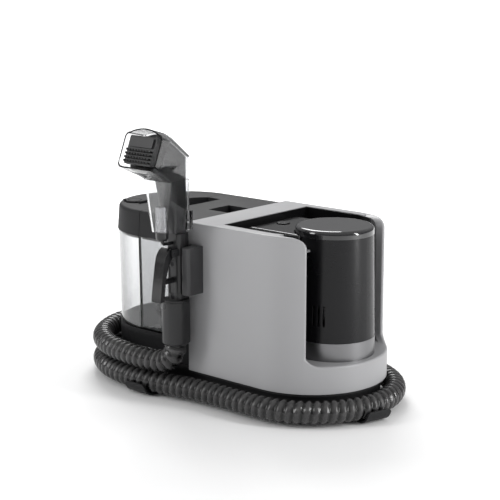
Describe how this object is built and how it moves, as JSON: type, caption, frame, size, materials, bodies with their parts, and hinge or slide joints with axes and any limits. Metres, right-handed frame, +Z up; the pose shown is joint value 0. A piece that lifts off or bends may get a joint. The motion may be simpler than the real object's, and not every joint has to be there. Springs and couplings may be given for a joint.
{
  "type": "portable carpet cleaner",
  "caption": "Portable carpet and upholstery cleaner with two lift-out tanks, a round motor tower, a wrapped hose and a clipped-on hand tool with a trigger.",
  "frame": {"origin": "on the floor under the middle of the machine, at the underside of the centre foot", "axes": "+Z up, +X along the machine from the tanks to the round motor end, -Y towards the hand tool"},
  "size_m": [0.563, 0.3819, 0.4225],
  "materials": {
    "shell_grey": "fine-textured light grey moulding",
    "dark_plastic": "fine-textured dark grey moulding",
    "handle_grey": "satin mid grey moulding",
    "handle_black": "satin black moulding",
    "gloss_black": "polished black",
    "cap_black": "polished dark cap",
    "trim_metal": "satin metallic trim",
    "clear_plastic": "smoke-tinted clear plastic",
    "hose_rubber": "ribbed flexible hose",
    "soft_rubber": "matt rubber",
    "steel": "zinc-plated steel",
    "machined_steel": "ground steel",
    "chrome_tube": "bright plated tube",
    "inner_plastic": "plain grey moulding",
    "float_white": "hollow pale float",
    "tube_clear": "translucent soft tube",
    "board_green": "glass-fibre circuit board",
    "component_black": "moulded electronic parts",
    "bristle": "stiff nylon tufts"
  },
  "bodies": {
    "machine": {"base_tray": "dark_plastic", "rubber_feet": "soft_rubber", "base_screws": "steel", "hose_hooks": "dark_plastic", "body_shell": "shell_grey", "bay_liner": "dark_plastic", "control_deck": "dark_plastic", "power_switch": "inner_plastic", "button_spring": "steel", "motor_trim_ring": "trim_metal", "motor_wrap": "gloss_black", "motor_cap": "cap_black", "motor_gaskets": "soft_rubber", "motor_stator": "machined_steel", "shaft_bearings": "machined_steel", "fan_casing": "inner_plastic", "air_duct": "inner_plastic", "recovery_duct": "inner_plastic", "supply_tube": "tube_clear", "delivery_tube": "tube_clear", "pump_head": "inner_plastic", "pump_motor": "inner_plastic", "circuit_board": "board_green", "board_components": "component_black", "mains_inlet_gland": "dark_plastic", "tool_holder": "dark_plastic", "hose": "hose_rubber", "hose_port": "dark_plastic", "handle_front_shell": "handle_grey", "handle_rear_shell": "handle_black", "trigger_pin": "steel", "handle_screws": "steel", "spray_valve": "inner_plastic", "trigger_spring": "steel", "spray_tube_foot": "handle_black"},
    "nozzle": {"nozzle_neck": "clear_plastic", "nozzle_cover": "clear_plastic", "head_core": "handle_grey", "brush_block": "handle_black", "brush_bristles": "bristle", "spray_tube": "chrome_tube"},
    "trigger": {"trigger": "gloss_black"},
    "valve_plunger": {"valve_plunger": "inner_plastic"},
    "power_button": {"power_button": "cap_black"},
    "clean_tank": {"clean_tank": "clear_plastic", "tank_valve_body": "inner_plastic", "clean_lid": "dark_plastic", "clean_lid_seal": "soft_rubber"},
    "tank_valve": {"tank_valve_poppet": "inner_plastic"},
    "fill_cap": {"fill_cap": "dark_plastic"},
    "dirty_tank": {"dirty_tank": "clear_plastic", "riser_tube": "inner_plastic"},
    "dirty_lid": {"dirty_lid": "dark_plastic", "dirty_lid_seal": "soft_rubber", "float_cage": "inner_plastic"},
    "float": {"float_ball": "float_white"},
    "lid_release": {"lid_release": "dark_plastic"},
    "vacuum_rotor": {"motor_rotor": "machined_steel", "impeller": "inner_plastic"},
    "pump_rotor": {"pump_eccentric": "machined_steel"}
  },
  "joints": [
    {"name": "nozzle_pull_off", "type": "slide", "parent": "machine", "child": "nozzle", "axis": [0, 0, 1], "range_m": [0, 0.05]},
    {"name": "trigger_pull", "type": "hinge", "parent": "machine", "child": "trigger", "pos_m": [-0.017, -0.158, 0.235], "axis": [1, 0, 0], "range_deg": [0, 6.5], "stiffness_Nm_per_rad": 1.5},
    {"name": "plunger_slide", "type": "slide", "parent": "machine", "child": "valve_plunger", "axis": [0, 1, 0], "range_m": [0, 0.005], "deforming": ["trigger_spring"]},
    {"name": "power_button_press", "type": "slide", "parent": "machine", "child": "power_button", "axis": [0, 0, -1], "range_m": [0, 0.0025], "stiffness_N_per_m": 500, "deforming": ["button_spring"]},
    {"name": "clean_tank_lift", "type": "slide", "parent": "machine", "child": "clean_tank", "axis": [0, 0, 1], "range_m": [0, 0.16]},
    {"name": "tank_valve_push", "type": "slide", "parent": "clean_tank", "child": "tank_valve", "axis": [0, 0, 1], "range_m": [0, 0.003], "stiffness_N_per_m": 300},
    {"name": "fill_cap_open", "type": "hinge", "parent": "clean_tank", "child": "fill_cap", "pos_m": [-0.177, -0.05, 0.2772], "axis": [0, 1, 0], "range_deg": [0, 100]},
    {"name": "dirty_tank_lift", "type": "slide", "parent": "machine", "child": "dirty_tank", "axis": [0, 0, 1], "range_m": [0, 0.16]},
    {"name": "dirty_lid_lift", "type": "slide", "parent": "dirty_tank", "child": "dirty_lid", "axis": [0, 0, 1], "range_m": [0, 0.06]},
    {"name": "float_rise", "type": "slide", "parent": "dirty_lid", "child": "float", "axis": [0, 0, 1], "range_m": [0, 0.012]},
    {"name": "lid_release_lift", "type": "hinge", "parent": "dirty_lid", "child": "lid_release", "pos_m": [-0.0538, 0, 0.2605], "axis": [0, -1, 0], "range_deg": [0, 22], "stiffness_Nm_per_rad": 0.3},
    {"name": "vacuum_spin", "type": "hinge", "parent": "machine", "child": "vacuum_rotor", "pos_m": [0.17, 0, 0.15], "axis": [0, 0, 1], "continuous": true},
    {"name": "pump_spin", "type": "hinge", "parent": "machine", "child": "pump_rotor", "pos_m": [0.04, -0.048, 0.028], "axis": [1, 0, 0], "continuous": true}
  ],
  "couplings": [
    {"joint": "plunger_slide", "follows": "trigger_pull", "m_per_rad": 0.043}
  ]
}
